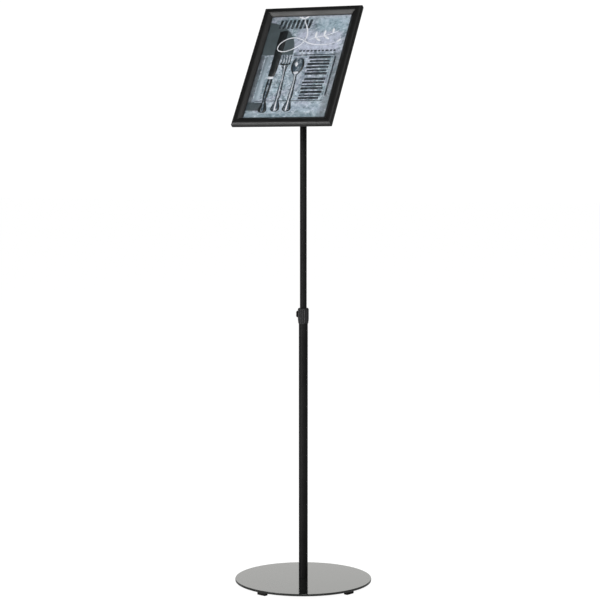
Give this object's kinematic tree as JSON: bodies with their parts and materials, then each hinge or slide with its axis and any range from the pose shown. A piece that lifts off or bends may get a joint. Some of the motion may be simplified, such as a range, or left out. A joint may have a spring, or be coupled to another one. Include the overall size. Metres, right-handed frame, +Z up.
{
  "type": "sign stand",
  "caption": "Free-standing telescopic sign stand: round base, clamped two-stage post and a tilting, turning snap frame for a portrait sheet.",
  "frame": {"origin": "on the floor, on the axis of the post", "axes": "+Z up the post; the sign faces -Y and leans back; +X to the right as one reads the sign"},
  "size_m": [0.305, 0.305, 1.2878],
  "materials": {
    "base_gloss_black": "gloss",
    "foot_rubber": "matte",
    "tube_black": "satin",
    "zinc_steel": "satin",
    "brass": "satin",
    "collar_black": "matte",
    "knob_black": "matte",
    "white_acetal": "matte",
    "bracket_black": "satin",
    "frame_black": "satin",
    "backing_board": "matte",
    "poster_print": "semi-gloss",
    "clear_sheet": "gloss"
  },
  "bodies": {
    "root": {"base_plate": "base_gloss_black", "base_foot_1": "foot_rubber", "base_foot_2": "foot_rubber", "base_foot_3": "foot_rubber", "base_foot_4": "foot_rubber", "base_bolt": "zinc_steel", "base_washer": "zinc_steel", "tube_plug": "zinc_steel", "lower_tube": "tube_black", "clamp_collar": "collar_black", "clamp_insert": "brass"},
    "clamp_pad": {"clamp_pad": "white_acetal"},
    "clamp_knob": {"clamp_knob": "knob_black", "clamp_screw": "zinc_steel"},
    "mast_slider": {"guide_bush": "white_acetal"},
    "mast": {"upper_tube": "tube_black", "mast_head": "collar_black", "head_screw": "zinc_steel"},
    "tilt_fork": {"tilt_bracket": "bracket_black", "tilt_bolt": "zinc_steel", "swivel_bolt": "zinc_steel", "swivel_nut": "zinc_steel", "swivel_washer": "white_acetal"},
    "tilt_washer": {"tilt_washer": "zinc_steel"},
    "tilt_knob": {"tilt_knob": "knob_black", "tilt_knob_insert": "brass"},
    "sign_frame": {"mount_plate": "bracket_black", "mount_rivet_1": "bracket_black", "mount_rivet_2": "bracket_black", "mount_rivet_3": "bracket_black", "mount_rivet_4": "bracket_black", "back_panel": "backing_board", "poster_print": "poster_print", "clear_sheet": "clear_sheet", "rail_bottom": "frame_black", "rail_right": "frame_black", "rail_top": "frame_black", "rail_left": "frame_black", "corner_key_1": "zinc_steel", "corner_key_2": "zinc_steel", "corner_key_3": "zinc_steel", "corner_key_4": "zinc_steel", "snap_spring_bottom": "zinc_steel", "snap_spring_right_1": "zinc_steel", "snap_spring_right_2": "zinc_steel", "snap_spring_top": "zinc_steel", "snap_spring_left_1": "zinc_steel", "snap_spring_left_2": "zinc_steel"},
    "cover_bottom": {"cover_bottom": "frame_black"},
    "cover_right": {"cover_right": "frame_black"},
    "cover_top": {"cover_top": "frame_black"},
    "cover_left": {"cover_left": "frame_black"}
  },
  "joints": [
    {"name": "clamp_pad_slide", "type": "slide", "parent": "root", "child": "clamp_pad", "axis": [-0.6858, 0.7278, 0], "range_m": [0, 0.002]},
    {"name": "clamp_knob_turn", "type": "hinge", "parent": "clamp_pad", "child": "clamp_knob", "pos_m": [0, 0, 0.6068], "axis": [-0.6858, 0.7278, 0], "range_deg": [0, 720]},
    {"name": "height_slide", "type": "slide", "parent": "root", "child": "mast_slider", "axis": [0, 0, 1], "range_m": [-0.4, 0.08]},
    {"name": "mast_swivel", "type": "hinge", "parent": "mast_slider", "child": "mast", "pos_m": [0, 0, 0.46], "axis": [0, 0, 1], "continuous": true},
    {"name": "sign_tilt", "type": "hinge", "parent": "mast", "child": "tilt_fork", "pos_m": [0, 0, 1.1324], "axis": [1, 0, 0], "range_deg": [-55.25, 34.75]},
    {"name": "tilt_washer_slide", "type": "slide", "parent": "tilt_fork", "child": "tilt_washer", "axis": [1, 0, 0], "range_m": [0, 0.0015]},
    {"name": "tilt_knob_turn", "type": "hinge", "parent": "tilt_washer", "child": "tilt_knob", "pos_m": [0, 0, 1.1324], "axis": [1, 0, 0], "range_deg": [0, 540]},
    {"name": "sign_turn", "type": "hinge", "parent": "tilt_fork", "child": "sign_frame", "pos_m": [0, 0, 1.1324], "axis": [0, -0.8216, 0.57], "range_deg": [-90, 90]},
    {"name": "bottom_cover_snap", "type": "hinge", "parent": "sign_frame", "child": "cover_bottom", "pos_m": [0, -0.1238, 1.02325], "axis": [1, 0, 0], "range_deg": [0, 90]},
    {"name": "right_cover_snap", "type": "hinge", "parent": "sign_frame", "child": "cover_right", "pos_m": [0.11675, -0.03245, 1.15491], "axis": [0, 0.57, 0.8216], "range_deg": [0, 90]},
    {"name": "top_cover_snap", "type": "hinge", "parent": "sign_frame", "child": "cover_top", "pos_m": [0, 0.05889, 1.28658], "axis": [-1, 0, 0], "range_deg": [0, 90]},
    {"name": "left_cover_snap", "type": "hinge", "parent": "sign_frame", "child": "cover_left", "pos_m": [-0.11675, -0.03245, 1.15491], "axis": [0, -0.57, -0.8216], "range_deg": [0, 90]}
  ],
  "couplings": [
    {"joint": "clamp_knob_turn", "follows": "clamp_pad_slide", "rad_per_m": 6283.2},
    {"joint": "tilt_knob_turn", "follows": "tilt_washer_slide", "rad_per_m": 6283.2}
  ]
}
